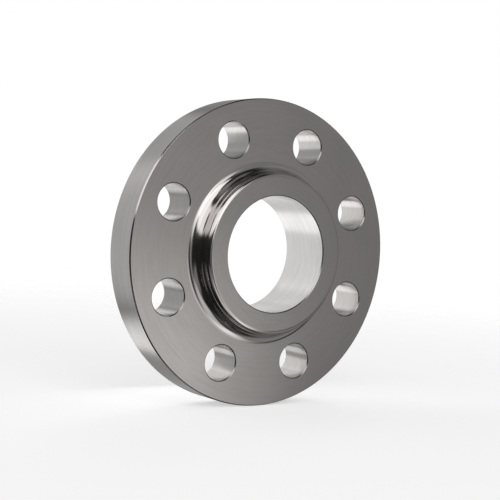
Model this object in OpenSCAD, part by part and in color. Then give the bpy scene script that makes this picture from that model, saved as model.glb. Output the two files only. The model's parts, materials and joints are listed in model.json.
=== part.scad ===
// Hubbed slip-on pipe flange, raised face, made from one forging.
//
// Frame: the pipe axis lies along Y and passes through the origin.
// The gasket face is at y = 0 and looks along +Y; the hub points to -Y.
// +Z is up, midway between two bolt holes. All lengths are millimetres.

/* [Ring] */
// Outside diameter of the ring
ring_d = 165.1; // [150:0.1:250]
// Thickness of the ring, without the raised face
ring_t = 20.7; // [10:0.1:40]
// Chamfer on both outer edges of the ring
rim_chamfer = 0.6; // [0.2:0.1:2]

/* [Hub] */
// Diameter of the hub's straight side
hub_d = 86.6; // [80:0.1:92]
// How far the hub stands out of the ring
hub_h = 11; // [8:0.1:30]
// Radius of the hub's rounded outer corner
hub_corner_r = 2.7; // [0.5:0.1:3]
// Radius of the fillet between hub and ring
hub_fillet_r = 6.0; // [1:0.1:7]

/* [Raised face] */
// Diameter of the raised gasket face
raised_d = 92.1; // [80:0.1:104]
// Height of the raised gasket face
raised_h = 1.6; // [0.5:0.1:7]

/* [Bore] */
// Diameter of the bore that the pipe slips into
bore_d = 62; // [30:0.1:72]
// Chamfer at both ends of the bore
bore_chamfer = 0.5; // [0.1:0.1:1.5]

/* [Bolt holes] */
// Diameter of the bolt circle
bolt_circle_d = 127; // [125:0.1:128]
// Number of bolt holes
bolt_count = 8; // [4:4:12]
// Diameter of each bolt hole
bolt_hole_d = 19.05; // [12:0.05:20]
// Chamfer at both ends of each bolt hole
bolt_chamfer = 0.5; // [0.1:0.1:1]

/* [Hidden] */
$fn = 96;

ring_r = ring_d / 2;
hub_r = hub_d / 2;
raised_r = raised_d / 2;
bore_r = bore_d / 2;
bolt_r = bolt_hole_d / 2;

// Stations along the pipe axis, counted from the gasket face into the hub
ring_front = raised_h;
ring_back = ring_front + ring_t;
hub_end = ring_back + hub_h;

// Cutters run past the faces that they cut by this much
past = 1;

// Outline of the ring and its raised face: radius across, station up
module ring_outline() {
    polygon([
        [0, ring_front],
        [ring_r - rim_chamfer, ring_front],
        [ring_r, ring_front + rim_chamfer],
        [ring_r, ring_back - rim_chamfer],
        [ring_r - rim_chamfer, ring_back],
        [0, ring_back]
    ]);
    square([raised_r, ring_front + past]);
}

// What a rounded outer corner of radius r takes off; the corner is at [0, 0]
module corner_waste(r) {
    difference() {
        translate([-r, -r])
            square(r + past);
        translate([-r, -r])
            circle(r);
    }
}

// What a fillet of radius r adds in an inner corner at [0, 0]
module fillet_web(r) {
    difference() {
        translate([-past, -past])
            square(r + past);
        translate([r, r])
            circle(r);
    }
}

// Outline of the hub: a straight side, a rounded end and a fillet at the ring
module hub_outline() {
    difference() {
        translate([0, ring_front])
            square([hub_r, hub_end - ring_front]);
        translate([hub_r, hub_end])
            corner_waste(hub_corner_r);
    }
    translate([hub_r, ring_back])
        fillet_web(hub_fillet_r);
}

// A round hole through a stretch of the axis, chamfered at both ends
module chamfered_hole(r, chamfer, from, to) {
    translate([0, 0, from - past])
        cylinder(h = to - from + 2 * past, r = r);
    translate([0, 0, from - past])
        cylinder(h = chamfer + past, r1 = r + chamfer + past, r2 = r);
    translate([0, 0, to - chamfer])
        cylinder(h = chamfer + past, r1 = r, r2 = r + chamfer + past);
}

// The bolt holes straddle the vertical centreline
module bolt_holes() {
    for (i = [0 : bolt_count - 1])
        rotate([0, 0, (i + 0.5) * 360 / bolt_count])
            translate([bolt_circle_d / 2, 0, 0])
                chamfered_hole(bolt_r, bolt_chamfer, ring_front, ring_back);
}

// The whole forging, turned and drilled
module flange() {
    color("darkgray")
        rotate([90, 0, 0])
            difference() {
                rotate_extrude() {
                    ring_outline();
                    hub_outline();
                }
                chamfered_hole(bore_r, bore_chamfer, 0, hub_end);
                bolt_holes();
            }
}

flange();
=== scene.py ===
# %% [markdown]
# # A slip-on pipe flange in fine-turned stainless steel
#
# The object is one forging: a thick ring with eight bolt holes, a short round
# hub that the pipe slips into, and on the far side a raised face that presses
# on a gasket. It is forged red hot, turned on a lathe, bored and then drilled.
# Those last cuts are what the eye sees: dull silver faces, small crisp
# chamfers, and holes with softer, milkier walls than the metal around them.
#
# The CAD model already says where everything is. This lesson loads it as a
# fixed frame and builds a finer skin for it in the same place.

import json
import math

import bmesh
import bpy
from mathutils import Matrix, Vector


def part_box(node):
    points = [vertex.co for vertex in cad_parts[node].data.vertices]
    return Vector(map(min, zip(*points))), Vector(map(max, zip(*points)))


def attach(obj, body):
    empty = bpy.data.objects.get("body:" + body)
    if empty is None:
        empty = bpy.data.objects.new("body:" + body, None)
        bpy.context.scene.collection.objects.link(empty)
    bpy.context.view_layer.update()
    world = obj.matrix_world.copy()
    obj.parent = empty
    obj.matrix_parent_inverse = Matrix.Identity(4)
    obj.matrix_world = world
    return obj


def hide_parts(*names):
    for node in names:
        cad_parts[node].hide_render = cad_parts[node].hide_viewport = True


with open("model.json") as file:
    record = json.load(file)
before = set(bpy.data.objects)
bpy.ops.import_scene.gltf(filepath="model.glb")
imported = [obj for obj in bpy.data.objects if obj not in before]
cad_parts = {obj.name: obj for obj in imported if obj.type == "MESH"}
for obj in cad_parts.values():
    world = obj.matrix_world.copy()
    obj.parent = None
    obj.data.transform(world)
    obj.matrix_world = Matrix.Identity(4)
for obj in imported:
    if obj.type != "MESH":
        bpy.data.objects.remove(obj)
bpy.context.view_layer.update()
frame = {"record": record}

# %% [markdown]
# ## Sizes
#
# Blender counts in metres and a machinist in millimetres, so every size here
# is in millimetres and one constant converts it when a point is made. What the
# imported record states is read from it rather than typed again, so the skin
# can't drift away from the CAD.

# %% Read the working surfaces from the record
MM = 0.001
mounts = {mount["name"]: mount for mount in frame["record"]["mounts"]}
bore_r = mounts["pipe_bore"]["dims"]["r_mm"]
bolt_circle_r = mounts["bolt_holes"]["dims"]["pcd_mm"] / 2
bolt_count = mounts["bolt_holes"]["dims"]["count"]
bolt_r = mounts["bolt_holes"]["dims"]["hole_r_mm"]
ring_back_y = mounts["nut_face"]["pos_m"][1] / MM
hub_end_y = mounts["hub_end"]["pos_m"][1] / MM
ring_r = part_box("flange")[1].x / MM
print(f"ring r {ring_r:.2f}, bore r {bore_r:.2f}, hub end at y {hub_end_y:.2f} mm")

# %% The sizes that only the drawing has
raised_r, raised_h = 46.05, 1.6
rim_chamfer, hole_chamfer = 0.6, 0.5
hub_r, hub_nose_r, hub_fillet_r = 43.3, 2.7, 6.0
edge_break = 0.15          # what a deburring tool leaves on a cut edge
raised_root_r = 0.4        # what a tool's round nose leaves below the raised face
ring_front_y = -raised_h
print(f"ring {ring_front_y - ring_back_y:.1f} mm thick, hub {ring_back_y - hub_end_y:.1f} mm tall")

# %% [markdown]
# ## One outline for the lathe
#
# A lathe makes a solid of revolution, so the whole shape starts as one flat
# outline: distance from the axis across, place along the axis up. It could be
# drawn point by point, but a draughtsman gives corners and a radius for each.
# `rounded` works the same way. It swaps each corner for an arc that is tangent
# to both neighbours, and also returns the exact direction that the metal faces
# at every point. With those directions, reflections run smoothly over arcs and
# stay flat on flats, which averaged directions can't promise.

# %% Round the corners of an outline
def rounded(corners, degrees_per_step=5):
    """[(point, facing)] for a closed outline of (radius, y, rounding) corners."""
    rows = []
    for i, (radius, y, rounding) in enumerate(corners):
        at = Vector((radius, y))
        ahead = (Vector(corners[(i + 1) % len(corners)][:2]) - at).normalized()
        behind = (at - Vector(corners[i - 1][:2])).normalized()
        if not rounding:
            along = (ahead + behind).normalized()
            rows.append((at, Vector((-along.y, along.x))))
            continue
        turn = math.atan2(behind.cross(ahead), behind.dot(ahead))
        start = at - behind * rounding * math.tan(abs(turn) / 2)
        facing = Vector((-behind.y, behind.x))
        middle = start + facing * math.copysign(rounding, turn)
        steps = max(3, round(math.degrees(abs(turn)) / degrees_per_step))
        for step in range(steps + 1):
            swing = Matrix.Rotation(turn * step / steps, 2)
            rows.append((middle + swing @ (start - middle), swing @ facing))
    return rows

# %% [markdown]
# ## The gasket face
#
# A flat gasket would creep out under pressure, so the raised face is left with
# fine grooves that grip it. A round-nosed tool feeds outwards and leaves
# scallops with a sharp crest between them. Real ones are about 0.5 mm apart
# and 0.02 mm deep, which is finer than a picture of the whole flange can show,
# so they are drawn 1 mm apart and 0.04 mm deep. They are cut into the face,
# never added to it, so the part keeps its length.

# %% Groove the gasket face
groove_pitch, groove_depth = 1.0, 0.04
plain_edges, steps_per_groove = 2.0, 4
groove_count = int((raised_r - bore_r - plain_edges) / groove_pitch)
first_groove = (raised_r + bore_r - groove_count * groove_pitch) / 2
grooves = []
for i in range(groove_count * steps_per_groove + 1):
    across = i / steps_per_groove % 1 * 2 - 1       # -1 and 1 at the crests, 0 at the bottom
    radius = first_groove + i * groove_pitch / steps_per_groove
    grooves.append((radius, groove_depth * (across**2 - 1), 0))
print(groove_count, "grooves from r", first_groove, "to", grooves[-1][0])

# %% [markdown]
# ## The whole outline
#
# It starts on the gasket face at the bore and runs outwards, down the rim,
# back in over the nut face and the hub, and home through the bore. The hub
# meets the ring in a large fillet, because a sharp inside corner is where a
# flange would crack. The two rows with no rounding on each ring face are seams
# for the bolt holes: between them the lathe skin is left out.

# %% Draw the outline
seam_in, seam_out = 51.5, 76.0
corners = (
    [(bore_r + hole_chamfer, 0, edge_break)] + grooves + [
    (raised_r, 0, edge_break),
    (raised_r, ring_front_y, raised_root_r),
    (seam_in, ring_front_y, 0), (seam_out, ring_front_y, 0),
    (ring_r - rim_chamfer, ring_front_y, edge_break),
    (ring_r, ring_front_y - rim_chamfer, edge_break),
    (ring_r, ring_back_y + rim_chamfer, edge_break),
    (ring_r - rim_chamfer, ring_back_y, edge_break),
    (seam_out, ring_back_y, 0), (seam_in, ring_back_y, 0),
    (hub_r, ring_back_y, hub_fillet_r),
    (hub_r, hub_end_y, hub_nose_r),
    (bore_r + hole_chamfer, hub_end_y, edge_break),
    (bore_r, hub_end_y + hole_chamfer, edge_break),
    (bore_r, -hole_chamfer, edge_break),
])
outline = rounded(corners)
print(len(outline), "points in the turned outline")

# %% [markdown]
# ## Spinning it
#
# Blender's Screw modifier could spin the outline, but then the bolt holes would
# have to be cut out of a finished skin, and a boolean leaves long thin faces
# that reflect badly. Here the rings are made directly, 384 steps to a turn, so
# the skin and the hole patches can share their seam points exactly.

# %% Keep one list of points, facings and faces
turns = 384
per_hole = turns // bolt_count
points, facings, faces, numbers = [], [], [], {}


def point(key, place, facing):
    """The number of a point; the same key always gives the same point."""
    if key not in numbers:
        numbers[key] = len(points)
        points.append(tuple(c * MM for c in place))
        facings.append(tuple(facing))
    return numbers[key]


def on_ring(row, step):
    """The point of an outline row after some steps around the axis."""
    (radius, y), (out, along) = row
    step %= turns
    c, s = math.cos(math.tau * step / turns), math.sin(math.tau * step / turns)
    return point((radius, y, step), (radius * c, y, radius * s), (out * c, along, out * s))


# %% Spin the outline, leaving out the two bands that the holes pass through
outline = [(tuple(at), tuple(facing)) for at, facing in outline]
seams = [row for row in outline
         if min(abs(row[0][0] - radius) for radius in (seam_in, seam_out)) < 1e-4]
for i, row in enumerate(outline):
    after = outline[(i + 1) % len(outline)]
    if row in seams and after in seams:
        continue
    for step in range(turns):
        faces.append((on_ring(row, step), on_ring(row, step + 1),
                      on_ring(after, step + 1), on_ring(after, step)))
print(len(points), "points,", len(faces), "faces,", len(seams), "seam rows")

# %% [markdown]
# ## The bolt holes
#
# Each hole is drilled through both faces and then lightly countersunk, so a
# stud starts without catching a burr. A hole is a small lathe shape of its own:
# the same `rounded` draws its wall and its two chamfers. Around it, each ring
# face is a patch whose rows slide from the round hole to the seam, so all its
# faces have four sides.

# %% Draw one hole's wall
edge_r = bolt_r + hole_chamfer
guide_r = edge_r + 4       # two guide corners out on the faces, dropped once they have aimed the arcs
hole_rows = rounded([
    (guide_r, ring_back_y, 0), (edge_r, ring_back_y, edge_break),
    (bolt_r, ring_back_y + hole_chamfer, edge_break),
    (bolt_r, ring_front_y - hole_chamfer, edge_break),
    (edge_r, ring_front_y, edge_break), (guide_r, ring_front_y, 0),
])[1:-1]
print(len(hole_rows), "rows in a hole's wall")


# %% Walk around a patch's outer edge, from its first corner back to it
def patch_edge(hole, inner, outer, side_steps):
    """Numbers of the seam points around one hole, in the order of its own turn."""
    first, last = hole * per_hole, (hole + 1) * per_hole
    (r_in, y), facing = inner
    r_out = outer[0][0]
    side = [((r_in + (r_out - r_in) * i / side_steps, y), facing) for i in range(1, side_steps)]
    ring = [on_ring(outer, step) for step in range(first, last)]
    ring += [on_ring(row, last) for row in [outer] + side[::-1]]
    ring += [on_ring(inner, step) for step in range(last, first, -1)]
    return ring + [on_ring(row, first) for row in [inner] + side]


# %% Make the eight holes and their patches
side_steps, patch_rows = 24, 5
around = 2 * per_hole + 2 * side_steps
back_y, front_y = (pick(row[0][1] for row in seams) for pick in (min, max))
seams_by_face = {True: sorted(row for row in seams if row[0][1] == back_y),
                 False: sorted(row for row in seams if row[0][1] == front_y)}
for hole in range(bolt_count):
    middle = math.tau * (hole + 0.5) / bolt_count
    centre_x, centre_z = bolt_circle_r * math.cos(middle), bolt_circle_r * math.sin(middle)

    def on_hole(row_number, step):
        (radius, y), (out, along) = hole_rows[row_number]
        step %= around
        turn = middle + math.tau * (step - per_hole / 2) / around
        c, s = math.cos(turn), math.sin(turn)
        place = (centre_x + radius * c, y, centre_z + radius * s)
        return point(("hole", hole, row_number, step), place, (out * c, along, out * s))

    for row_number in range(len(hole_rows) - 1):
        for step in range(around):
            faces.append((on_hole(row_number, step), on_hole(row_number, step + 1),
                          on_hole(row_number + 1, step + 1), on_hole(row_number + 1, step)))
    for at_back, (inner, outer) in seams_by_face.items():
        edge = patch_edge(hole, inner, outer, side_steps)
        rim = [on_hole(0 if at_back else len(hole_rows) - 1, step) for step in range(around)]
        rows = [rim]
        for i in range(1, patch_rows):
            share = i / patch_rows
            row = []
            for step, (a, b) in enumerate(zip(rim, edge)):
                place = Vector(points[a]).lerp(Vector(points[b]), share) / MM
                row.append(point(("patch", hole, at_back, i, step), place, inner[1] + (0,)))
            rows.append(row)
        for near, far in zip(rows, rows[1:] + [edge]):
            for step in range(around):
                following = (step + 1) % around
                faces.append((near[step], near[following], far[following], far[step]))
print(len(points), "points and", len(faces), "faces with the holes")

# %% [markdown]
# ## From lists to a mesh
#
# The lists become one closed mesh. The facing kept with each point is handed to
# Blender as a custom normal. Each face is then given the finish of the cut that
# made it, found from where the face lies: the bore was bored, the holes were
# drilled, the gasket face was grooved and the rest was turned.

# %% Build the mesh
mesh = bpy.data.meshes.new("flange_forging")
mesh.from_pydata(points, [], faces)
mesh.validate()
build = bmesh.new()
build.from_mesh(mesh)
bmesh.ops.recalc_face_normals(build, faces=build.faces)
volume = build.calc_volume(signed=True) / MM**3
closed = all(len(edge.link_faces) == 2 for edge in build.edges)
build.to_mesh(mesh)
build.free()
print(f"closed: {closed}, volume {volume:.0f} cubic mm, {len(mesh.polygons)} faces")

# %% Name the cut that made each face
finishes = ["turned_steel", "turned_rim", "bored_steel", "drilled_steel", "grooved_gasket_face"]
slack = 0.01               # flat faces cut a curve's corners by less than this


def cut_of(face):
    """The name of the finish that a face gets, from where its centre lies."""
    x, y, z = (c / MM for c in face.center)
    radius = math.hypot(x, z)
    if radius < bore_r + hole_chamfer + slack:
        return "bored_steel"
    if radius < raised_r + slack and y > ring_front_y / 2:
        return "grooved_gasket_face"
    if radius > ring_r - slack:
        return "turned_rim"
    step = math.tau / bolt_count
    middle = (math.atan2(z, x) // step + 0.5) * step
    away = math.hypot(x - bolt_circle_r * math.cos(middle), z - bolt_circle_r * math.sin(middle))
    return "drilled_steel" if away < edge_r + slack and radius > seam_in else "turned_steel"


counts = dict.fromkeys(finishes, 0)
for face in mesh.polygons:
    finish = cut_of(face)
    face.material_index = finishes.index(finish)
    counts[finish] += 1
mesh.shade_smooth()
mesh.normals_split_custom_set_from_vertices(facings)
print("faces by cut:", counts)

# %% [markdown]
# ## Joining the frame
#
# The forging rides on the only body and stands for the CAD node of the same
# shape, which is hidden.

# %% Put the forging in the frame
flange_forging = bpy.data.objects.new("flange_forging", mesh)
bpy.context.scene.collection.objects.link(flange_forging)
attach(flange_forging, "root")
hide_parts("flange")
print("one piece,", flange_forging.name, "on body root")

# %% [markdown]
# ## Colours and nodes
#
# Colours are written as the hex values a screen shows, and one function turns
# them into the linear light that a renderer adds up. A second function adds a
# node, sets it and links it, so a material reads as a list of what it is made of.

# %% Two helpers for every material
def linear(hex_colour):
    """An sRGB hex colour as linear RGBA."""
    channels = [int(hex_colour[i:i + 2], 16) / 255 for i in (1, 3, 5)]
    return [c / 12.92 if c <= 0.04045 else ((c + 0.055) / 1.055) ** 2.4 for c in channels] + [1.0]


def add(tree, kind, sockets=None, **settings):
    """Adds a node; sockets maps an input to a value, or to another node's output."""
    made = tree.nodes.new(kind)
    for name, value in settings.items():
        setattr(made, name, value)
    for socket, value in (sockets or {}).items():
        if isinstance(value, bpy.types.NodeSocket):
            tree.links.new(value, made.inputs[socket])
        else:
            made.inputs[socket].default_value = value
    return made


def new_material(name):
    """An empty material and its node tree."""
    material = bpy.data.materials.new(name)
    material.use_nodes = True
    material.node_tree.nodes.clear()
    return material, material.node_tree


print("half grey is", [round(c, 3) for c in linear("#808080")])

# %% [markdown]
# ## Marks that run around the axis
#
# Everything on this part was cut while it turned, so its marks are circles: on
# a face they are rings, on the rim and in the bore they are hoops. One measure
# gives both, the radius plus the place along the axis, because one of the two
# always stands still. Noise that is read finely along that measure and slowly
# around the axis makes long thin marks like a tool's.
#
# The real feed is about 0.2 mm a turn, too fine to show here. The marks are
# drawn about 1 mm apart, as coarse as they need to be to show.

# %% Noise stretched around the axis
def tool_marks(tree, pitch_mm, arcs, detail=3.0):
    """Noise from 0 to 1, pitch_mm apart along the feed; more arcs, shorter marks."""
    place = add(tree, "ShaderNodeTexCoord").outputs["Object"]
    flat = add(tree, "ShaderNodeVectorMath", {0: place, 1: (1 / MM, 0, 1 / MM)},
               operation="MULTIPLY")
    radius = add(tree, "ShaderNodeVectorMath", {0: flat.outputs[0]}, operation="LENGTH")
    along = add(tree, "ShaderNodeVectorMath", {0: place, 1: (0, 1 / MM, 0)},
                operation="DOT_PRODUCT")
    feed = add(tree, "ShaderNodeMath", {0: radius.outputs["Value"], 1: along.outputs["Value"]},
               operation="ADD")
    rows = add(tree, "ShaderNodeMath", {0: feed.outputs[0], 1: 1 / pitch_mm}, operation="MULTIPLY")
    unit = add(tree, "ShaderNodeVectorMath", {0: flat.outputs[0]}, operation="NORMALIZE")
    circle = add(tree, "ShaderNodeVectorMath", {0: unit.outputs[0], "Scale": arcs},
                 operation="SCALE")
    lift = add(tree, "ShaderNodeCombineXYZ", {"Y": rows.outputs[0]})
    both = add(tree, "ShaderNodeVectorMath", {0: circle.outputs[0], 1: lift.outputs[0]},
               operation="ADD")
    return add(tree, "ShaderNodeTexNoise", {
        "Vector": both.outputs[0], "Scale": 1.0, "Detail": detail, "Roughness": 0.55}).outputs[0]


# %% [markdown]
# ## Cut stainless steel
#
# Stainless steel reflects about 60 percent of the light, a little warm, and its
# look depends on the cut. Five things are set for each cut: the colour of fresh
# and of dull metal, how far reflections spread (the roughness) and how much
# that varies, and how close and how deep the tool marks are. Two soft patterns
# keep it from looking printed: cloudy stains from handling and coolant, and
# streaks of duller metal where the tool rubbed.

# %% One steel, cut in different ways
cloud_size = 28 * MM


def cut_steel(name, bright, dull, roughness, spread, marks, depth_mm):
    """Stainless steel with marks of (pitch in mm, arcs) left by one cutting tool."""
    material, tree = new_material(name)
    place = add(tree, "ShaderNodeTexCoord").outputs["Object"]
    clouds = add(tree, "ShaderNodeTexNoise", {
        "Vector": place, "Scale": 1 / cloud_size, "Detail": 4.0})
    streaks = tool_marks(tree, *marks)
    shades = add(tree, "ShaderNodeMath", {0: clouds.outputs[0], 1: streaks}, operation="ADD")
    share = add(tree, "ShaderNodeMapRange", {
        "Value": shades.outputs[0], "From Min": 0.75, "From Max": 1.25})
    colour = add(tree, "ShaderNodeMix", {
        "Factor": share.outputs[0], 6: linear(bright), 7: linear(dull)}, data_type="RGBA")
    rough = add(tree, "ShaderNodeMapRange", {
        "Value": shades.outputs[0], "From Min": 0.7, "From Max": 1.3,
        "To Min": roughness - spread, "To Max": roughness + spread})
    bump = add(tree, "ShaderNodeBump", {
        "Height": streaks, "Distance": depth_mm * MM, "Strength": 1.0})
    shader = add(tree, "ShaderNodeBsdfPrincipled", {
        "Base Color": colour.outputs[2], "Metallic": 1.0, "Roughness": rough.outputs[0],
        "Normal": bump.outputs[0]})
    add(tree, "ShaderNodeOutputMaterial", {"Surface": shader.outputs[0]})
    return material


# %% [markdown]
# ## Five cuts
#
# The nut face and the hub are turned with a fine feed and come out nearly as
# mirrors. The rim gets a coarser feed, so its reflections run a little wider.
# A boring bar and a drill both chatter, so the bore and the holes have deeper
# marks, duller metal and soft, milky reflections. The gasket face is left
# rougher on purpose, between its grooves too.

# %% Mix the five finishes and hand them to the mesh
steels = {
    name: cut_steel(name, *values) for name, values in {
        "turned_steel": ("#D1CCCA", "#C9C5C2", 0.13, 0.015, (1.1, 3.0), 0.0005),
        "turned_rim": ("#C1BEBC", "#B7B4B2", 0.18, 0.02, (1.3, 2.5), 0.001),
        "bored_steel": ("#B8B6B5", "#B0AEAD", 0.24, 0.03, (1.6, 2.0), 0.002),
        "drilled_steel": ("#B3B0AE", "#A9A6A4", 0.24, 0.04, (1.4, 6.0), 0.003),
        "grooved_gasket_face": ("#CFCAC8", "#C6C1BE", 0.2, 0.03, (1.0, 2.0), 0.001),
    }.items()
}
for finish in finishes:
    mesh.materials.append(steels[finish])
print("finishes on the mesh:", [material.name for material in mesh.materials])

# %% [markdown]
# ## The floor
#
# The flange stands on its rim, so the floor touches the lowest point of the
# ring. It is a plain pale disc that fades out before its edge, which leaves no
# horizon line. It glows a little so that it stays close to white, and it is
# kept out of the steel's reflections, because the lights below already say
# what the steel sees from underneath.

# %% Lay the floor
floor_r, fade_from, fade_to, floor_glow = 1.5, 0.25, 0.9, 0.5
build = bmesh.new()
bmesh.ops.create_circle(build, cap_ends=True, radius=floor_r, segments=96)
floor_mesh = bpy.data.meshes.new("studio_floor")
build.to_mesh(floor_mesh)
build.free()
studio_floor = bpy.data.objects.new("studio_floor", floor_mesh)
studio_floor.location = (0, 0, -ring_r * MM)
studio_floor.visible_glossy = False
bpy.context.scene.collection.objects.link(studio_floor)
print(f"floor at z {studio_floor.location.z:.4f} m")

# %% Paint it pale and fade its edge
pale_paint, tree = new_material("pale_floor_paint")
where = add(tree, "ShaderNodeTexCoord").outputs["Object"]
far = add(tree, "ShaderNodeVectorMath", {0: where}, operation="LENGTH")
fade = add(tree, "ShaderNodeMapRange", {
    "Value": far.outputs["Value"], "From Min": fade_from, "From Max": fade_to},
    interpolation_type="SMOOTHSTEP")
paint = add(tree, "ShaderNodeBsdfPrincipled", {
    "Base Color": linear("#F4F4F4"), "Roughness": 1.0, "Specular IOR Level": 0.0,
    "Emission Color": linear("#FFFFFF"), "Emission Strength": floor_glow})
clear = add(tree, "ShaderNodeBsdfTransparent")
blend = add(tree, "ShaderNodeMixShader", {
    0: fade.outputs[0], 1: paint.outputs[0], 2: clear.outputs[0]})
add(tree, "ShaderNodeOutputMaterial", {"Surface": blend.outputs[0]})
floor_mesh.materials.append(pale_paint)

# %% [markdown]
# ## The camera
#
# The flange is seen from its hub side, from the left and almost level, so the
# rim shows as a crescent and the far wall of the bore shows through the ring.
# `direction` names a direction by its compass angle from the hub's side
# (positive to the right) and its height, both in degrees. The camera is built
# from its own three axes, which makes its small tilt easy to add.

# %% Name a direction by two angles
def direction(azimuth, elevation):
    """Unit vector towards an azimuth, 0 in front of the hub, and an elevation."""
    a, e = math.radians(azimuth), math.radians(elevation)
    return Vector((math.sin(a) * math.cos(e), -math.cos(a) * math.cos(e), math.sin(e)))


# %% Place the camera
view_azimuth, view_elevation, view_roll = -35.196, 1.890, 3.576
view_distance, lens_mm, sensor_mm = 622.75, 83.56, 36
aside, above = -7.98, 1.66      # how far the aim is from the ring's nut face centre
back = direction(view_azimuth, view_elevation)
level = Vector((0, 0, 1)).cross(back).normalized()
roll = math.radians(view_roll)
right = level * math.cos(roll) + back.cross(level) * math.sin(roll)
up = back.cross(right)
aim = Vector((0, ring_back_y, 0)) + right * aside + up * above
camera_data = bpy.data.cameras.new("camera")
camera_data.lens, camera_data.sensor_width = lens_mm, sensor_mm
camera_data.clip_start = 0.01
camera = bpy.data.objects.new("camera", camera_data)
turn = Matrix((right, up, back)).transposed().to_4x4()
camera.matrix_world = Matrix.Translation((aim + back * view_distance) * MM) @ turn
bpy.context.scene.collection.objects.link(camera)
bpy.context.scene.camera = camera
print("camera at", [round(c, 4) for c in camera.matrix_world.translation])

# %% [markdown]
# ## The light
#
# Polished metal has hardly any colour of its own: it shows its surroundings. A
# studio hangs white and grey cards around a metal object and looks at where
# each one is reflected. The world does the same here. `card` gives the
# light of one card from its place in the room, the same angles as `direction`,
# and how soft its edges are. The cards are added up, and what no card covers is
# nearly black, which draws the dark lines along the hub and the chamfers.

# %% One card in the room
world = bpy.data.worlds.new("studio")
bpy.context.scene.world = world
world.use_nodes = True
tree = world.node_tree
tree.nodes.clear()
where = add(tree, "ShaderNodeTexCoord").outputs["Generated"]


def card(azimuth, half_width, low, high, soft, radiance):
    """The light from each direction of one card; angles in degrees."""
    turned = add(tree, "ShaderNodeVectorRotate", {
        "Vector": where, "Angle": math.radians(-azimuth)}, rotation_type="Z_AXIS")
    split = add(tree, "ShaderNodeSeparateXYZ", {0: turned.outputs[0]})
    ahead = add(tree, "ShaderNodeMath", {0: split.outputs["Y"], 1: -1.0}, operation="MULTIPLY")
    across = add(tree, "ShaderNodeMath", {0: split.outputs["X"], 1: ahead.outputs[0]},
                 operation="ARCTAN2")
    side = add(tree, "ShaderNodeMath", {0: across.outputs[0]}, operation="ABSOLUTE")
    height = add(tree, "ShaderNodeMath", {0: split.outputs["Z"]}, operation="ARCSINE")
    light = radiance
    for angle, edge, inwards in ((side, half_width, -1), (height, low, 1), (height, high, -1)):
        ramp = add(tree, "ShaderNodeMapRange", {
            "Value": angle.outputs[0], "From Min": math.radians(edge - inwards * soft),
            "From Max": math.radians(edge + inwards * soft)}, interpolation_type="SMOOTHSTEP")
        light = add(tree, "ShaderNodeMath", {0: ramp.outputs[0], 1: light},
                    operation="MULTIPLY").outputs[0]
    return light


# %% Hang the cards
# Each row: azimuth, half width, low edge, high edge, softness, radiance.
cards = {
    "softbox, upper left": (-22, 24, 15, 56, 2.5, 1.8),
    "its left part": (-72, 27, 16, 48, 3, 1.5),
    "strip in front": (7, 14, 4, 17, 4, 1.6),
    "its upper part": (8, 11, 13, 38, 5, 1.3),
    "grey strip, front left": (-9, 8, -26, 6, 6, 0.3),
    "tall grey card, right": (38, 23, -11, 55, 7, 0.28),
    "white card, low right": (25, 10, -51, -4, 5, 0.61),
    "the rest of that card": (47, 15, -62, -21, 6, 0.3),
    "grey lift, low right": (26, 9, -60, 8, 6, 0.14),
    "white card, low front": (2, 27, -54, -22, 7, 0.85),
    "grey card, low left": (-42, 16, -40, -16, 5, 0.26),
    "floor in front": (10, 60, -95, -66, 6, 0.12),
    "grey wall, right": (95, 38, -60, 60, 10, 0.24),
    "grey wall, back left": (-136, 28, -27, 54, 8, 0.77),
    "grey wall, back": (180, 20, -13, 45, 5, 0.64),
    "bright floor, back": (-152, 30, -48, -27, 2.5, 1.6),
    "its right part": (154, 24, -48, -18, 4, 0.42),
    "floor behind": (180, 60, -95, -50, 6, 0.5),
    "grey strip, back right": (143, 16, -20, 60, 8, 0.35),
    "card, high back right": (136, 18, 32, 60, 6, 0.62),
    "ceiling, left": (-100, 70, 60, 78, 6, 0.28),
    "ceiling": (0, 180, 76, 95, 6, 0.2),
}
room_glow = 0.02
total = room_glow
for values in cards.values():
    total = add(tree, "ShaderNodeMath", {0: card(*values), 1: total}, operation="ADD").outputs[0]
print(len(cards), "cards around the object")

# %% [markdown]
# ## What the camera sees behind
#
# The cards are only for the steel and the floor to see. A ray that comes
# straight from the camera meets plain white instead, so the flange stands in
# front of a clean backdrop. The Standard view transform keeps that white white.

# %% Put the white backdrop behind
path = add(tree, "ShaderNodeLightPath")
room = add(tree, "ShaderNodeBackground", {"Strength": total})
backdrop = add(tree, "ShaderNodeBackground", {"Color": (1, 1, 1, 1), "Strength": 1.0})
seen = add(tree, "ShaderNodeMixShader", {
    0: path.outputs["Is Camera Ray"], 1: room.outputs[0], 2: backdrop.outputs[0]})
add(tree, "ShaderNodeOutputWorld", {"Surface": seen.outputs[0]})
bpy.context.scene.view_settings.view_transform = "Standard"

# %% [markdown]
# ## A panel behind the ring
#
# The bore and the bolt holes are short tunnels. Their walls are seen at a low
# angle, so they mirror whatever stands close behind the ring. A white panel
# there, about as large as the bolt circle, fills the bore and the holes on the
# right, and leaves the walls of the left holes darker. It is invisible itself,
# so the holes still show the plain backdrop.

# %% Stand the panel behind the gasket face
panel_width, panel_height, panel_radiance = 118.0, 134.0, 0.72
panel_place = Vector((9, 52, -3))
panel_data = bpy.data.lights.new("back_panel", "AREA")
panel_data.shape = "RECTANGLE"
panel_data.size, panel_data.size_y = panel_width * MM, panel_height * MM
panel_data.energy = panel_radiance * math.pi * panel_data.size * panel_data.size_y
panel = bpy.data.objects.new("back_panel", panel_data)
face_hub = Matrix.Rotation(math.radians(-90), 4, "X")
panel.matrix_world = Matrix.Translation(panel_place * MM) @ face_hub
panel.visible_camera = False
bpy.context.scene.collection.objects.link(panel)
print(f"panel {panel_place.y:.0f} mm behind the gasket face")
